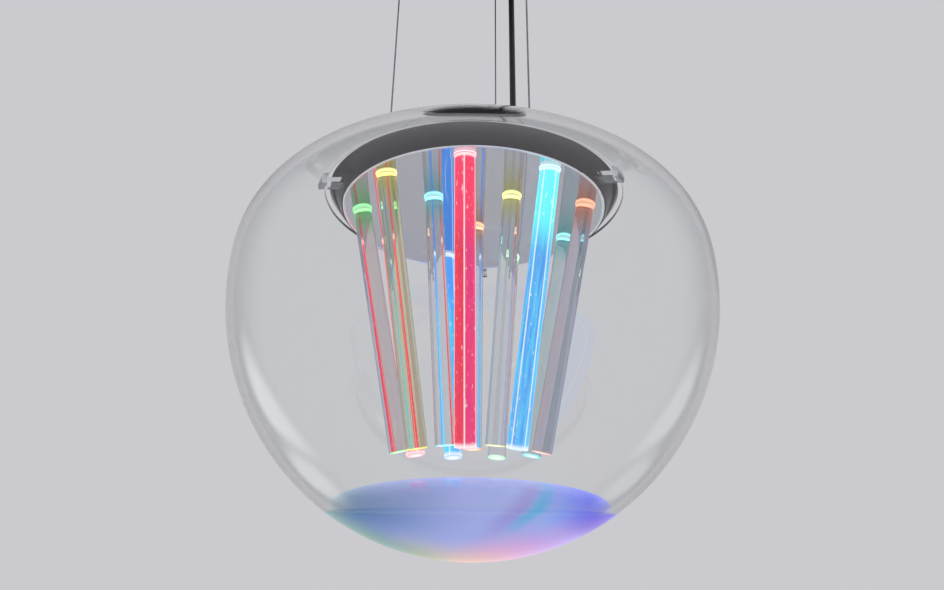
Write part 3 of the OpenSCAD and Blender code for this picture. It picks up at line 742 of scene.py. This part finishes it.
def make_floor():
    outline = [(radius, 0.0) for radius in FLOOR_RINGS]
    floor = lathe("floor", outline, pale_floor(), sides=FLOOR_SIDES)
    floor.location.z = FLOOR_Z


def make_world():
    """Even light, with the backdrop's colour where the camera, glass or metal sees it."""
    world = bpy.data.worlds.new("studio")
    world.use_nodes = True
    bpy.context.scene.world = world
    tree = world.node_tree
    path = tree.nodes.new("ShaderNodeLightPath")
    seen = path.outputs["Is Camera Ray"]
    for kind in ("Is Glossy Ray", "Is Transmission Ray"):
        either = tree.nodes.new("ShaderNodeMath")
        either.operation = "MAXIMUM"
        tree.links.new(seen, either.inputs[0])
        tree.links.new(path.outputs[kind], either.inputs[1])
        seen = either.outputs[0]
    mix = tree.nodes.new("ShaderNodeMix")
    mix.data_type = "RGBA"
    mix.inputs[6].default_value = AMBIENT
    mix.inputs[7].default_value = BACKDROP
    tree.links.new(seen, mix.inputs[0])
    tree.links.new(mix.outputs[2], tree.nodes["Background"].inputs["Color"])


def facing(place, target):
    """Frame at a place whose -Z points at a target."""
    turn = (Vector(target) - Vector(place)).to_track_quat("-Z", "Y")
    return Matrix.Translation(place) @ turn.to_matrix().to_4x4()


def make_lights():
    for i, (place, target, width, height, watts) in enumerate(SOFT_BOXES, 1):
        data = bpy.data.lights.new(f"soft_box_{i}", "AREA")
        data.shape = "RECTANGLE"
        data.size = width
        data.size_y = height
        data.energy = watts
        lamp = bpy.data.objects.new(data.name, data)
        lamp.matrix_world = facing(place, target)
        lamp.visible_glossy = False
        lamp.visible_transmission = False
        bpy.context.scene.collection.objects.link(lamp)


def make_cards():
    """Soft cards that show only as reflections in glass and metal."""
    for i, (place, target, width, height, strength) in enumerate(GLOW_CARDS, 1):
        card = lathe(f"card_{i}", [(0.0, 0.0), (1.0, 0.0)], card_glow(strength), sides=CARD_SIDES)
        card.matrix_world = facing(place, target) @ Matrix.Diagonal((width, height, 1.0, 1.0))
        card.visible_camera = False
        card.visible_diffuse = False
        card.visible_transmission = False
        card.visible_shadow = False


# Pieces


def dress(piece, body, node):
    """Puts a piece on its body in place of a node."""
    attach(piece, body)
    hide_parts(node)


def cord_ends(node):
    """Lower and upper end of a straight upright cord's middle line, and its radius."""
    low, high = map(Vector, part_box(node))
    x, y = (low.x + high.x) / 2, (low.y + high.y) / 2
    return Vector((x, y, low.z)), Vector((x, y, high.z)), (high.x - low.x) / 2


def make_wire(i, material):
    """Wire rope with its strands laid in a long twist."""
    node = f"suspension_wire_{i}"
    low, high, radius = cord_ends(node)

    def strand(angle, rise):
        phase = ROPE_STRANDS / 2 * (angle - 2 * math.pi * rise / ROPE_LAY)
        return radius * (1 - ROPE_GROOVE * (1 - abs(math.cos(phase))))

    wire = straight_tube(f"wire_rope_{i}", low, high, strand, ROPE_SIDES, ROPE_STEP, material)
    dress(wire, f"wire_{i}", node)


def make_cord(material):
    low, high, radius = cord_ends("power_cord")

    def sheath(angle, rise):
        return radius

    cord = straight_tube("cord_sheath", low, high, sheath, SHEATH_SIDES, SHEATH_STEP, material)
    dress(cord, "cord", "power_cord")


def paint_seam(shell, opal):
    """Gives the shell's lower end, which the opal bowl is fused to, an opal finish like the bowl's, with
    more painted glow so that the seam shows no dark strip.
    """
    shell.data.materials.append(opal)
    for face in shell.data.polygons:
        inwards = face.normal.x * face.center.x + face.normal.y * face.center.y < 0
        if inwards and face.normal.z < 0 and face.center.z < EQUATOR_Z:
            face.material_index = 1


def make_glass():
    bowl_opal = opal_glass("opal_bowl", *OPAL_BOWL)
    cap_opal = opal_glass("opal_cap", *OPAL_CAP)
    shell = lathe("glass_shell", globe_outline(), clear_glass(), closed=True)
    paint_seam(shell, opal_glass("opal_edge", *OPAL_EDGE))
    dress(shell, "lamp", "glass_globe")
    bowl = lathe("opal_shell", bowl_outline(), bowl_opal, closed=True)
    dress(bowl, "lamp", "opal_bowl")
    cap = lathe("opal_cap", dome_outline(), cap_opal, closed=True)
    dress(cap, "lamp", "opal_dome")


def make_rods():
    rod_line = [
        (0.0, ROD_FOOT),
        (ROD_R - ROD_BEVEL, ROD_FOOT),
        (ROD_R, ROD_FOOT + ROD_BEVEL),
        (ROD_R, ROD_TOP - ROD_BEVEL),
        (ROD_R - ROD_BEVEL, ROD_TOP),
        (0.0, ROD_TOP),
    ]
    collar_line = [
        (COLLAR_BORE, COLLAR_FOOT),
        (COLLAR_R - COLLAR_BEVEL, COLLAR_FOOT),
        (COLLAR_R, COLLAR_FOOT + COLLAR_BEVEL),
        (COLLAR_R, COLLAR_TOP),
        (COLLAR_BORE, COLLAR_TOP),
    ]
    for i, (place, code) in enumerate(zip(rod_frames(), ROD_LIGHTS), 1):
        slot = f"rod_acrylic_{i}"
        tint = tone(code)
        glowing = i in ROD_GLOWS
        if glowing:
            acrylic = glowing_rod(slot, tint, ROD_GLOWS[i])
        else:
            acrylic = clear_rod(slot, tint, ROD_REFLECTED_LIGHTS.get(i, CLEAR_TINTS))
        rod = lathe(f"rod_{i}", rod_line, acrylic, sides=ROD_SIDES)
        rod.matrix_world = place
        dress(rod, "lamp", f"light_rod_{i}")
        milky = lit_collar(f"collar_{i}", tint, glowing)
        collar = lathe(f"collar_{i}", collar_line, milky, sides=ROD_SIDES, closed=True)
        collar.matrix_world = place
        dress(collar, "lamp", "rod_collars")


def coil_ring(place, share):
    """Ring of points round the spring's wire, at a share of its length."""
    turn = 2 * math.pi * SPRING_TURNS * share
    away = Vector((0, math.cos(turn), math.sin(turn)))
    start, end = SPRING_FROM + SPRING_WIRE_R, SPRING_TO - SPRING_WIRE_R
    middle = Vector((start + (end - start) * share, 0, 0)) + SPRING_R * away
    ring = []
    for k in range(SPRING_WIRE_SIDES):
        a = 2 * math.pi * k / SPRING_WIRE_SIDES
        side = math.cos(a) * away - math.sin(a) * Vector((1, 0, 0))
        ring.append(place @ (middle + SPRING_WIRE_R * side))
    return ring


def make_springs(material):
    """Coils behind the latch bolts, which the bolts press together."""
    tilt = math.asin(LATCH_R / LATCH_LEVEL)
    steps = SPRING_TURNS * SPRING_STEPS_PER_TURN
    for i, angle in enumerate(LATCH_ANGLES, 1):
        turned = Matrix.Rotation(math.radians(angle - 90), 4, "Z") @ Matrix.Rotation(tilt, 4, "Y")
        place = Matrix.Translation((0, 0, CENTRE_Z)) @ turned @ Matrix.Translation((0, 0, LATCH_LEVEL))
        rings = [coil_ring(place, k / steps) for k in range(steps + 1)]
        coil = skin(f"latch_coil_{i}", rings, material)
        dress(coil, "lamp", "latch_springs")
        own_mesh(coil)


def paint_nodes(materials):
    """Gives each CAD node the finish of its material slot."""
    for part in frame["record"]["subparts"]:
        finish = materials.get(part["material_slot"])
        if finish is None:
            continue
        for slot in frame["nodes"][part["node"]].material_slots:
            slot.material = finish


bpy.context.scene.view_settings.view_transform = "Standard"
make_camera()
materials = {slot: surface(slot, *values) for slot, values in SURFACES.items()}
materials["mirror"] = polished_mirror()
for slot, rough in CLEAR_MOULDINGS.items():
    materials[slot] = clear_moulding(slot, rough)
for number in WIRE_NUMBERS:
    make_wire(number, materials["wire_rope"])
make_cord(materials["cord_sheath"])
make_glass()
make_rods()
make_springs(materials["steel"])
paint_nodes(materials)
make_floor()
make_world()
make_lights()
make_cards()
